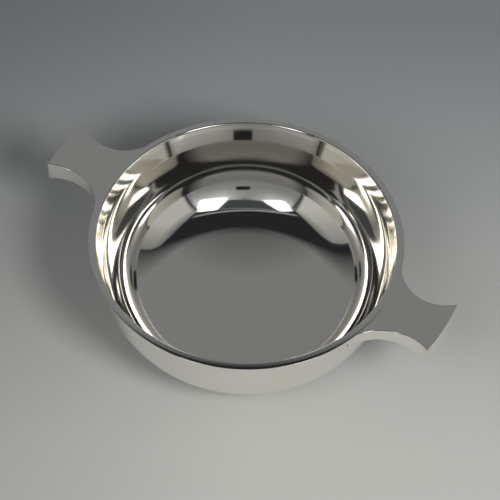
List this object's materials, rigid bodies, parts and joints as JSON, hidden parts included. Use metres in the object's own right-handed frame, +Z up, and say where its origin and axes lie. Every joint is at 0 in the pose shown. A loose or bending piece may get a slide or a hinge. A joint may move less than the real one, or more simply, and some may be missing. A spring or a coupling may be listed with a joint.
{
  "type": "quaich",
  "caption": "Shallow round drinking bowl in polished silver with opposed flat hollow lugs at the rim, a broad flat rim and a low foot ring.",
  "frame": {"origin": "on the bowl's axis, in the plane that the foot ring stands on", "axes": "+Z up along the bowl's axis, +X along the line through both lugs"},
  "size_m": [0.1288, 0.092, 0.0382],
  "materials": {
    "silver": "polished"
  },
  "bodies": {
    "root": {"bowl": "silver", "rim_wire": "silver", "foot_ring": "silver", "lug_a_top": "silver", "lug_a_front": "silver", "lug_a_back": "silver", "lug_a_end": "silver", "lug_a_base": "silver", "lug_b_top": "silver", "lug_b_front": "silver", "lug_b_back": "silver", "lug_b_end": "silver", "lug_b_base": "silver"}
  },
  "joints": []
}
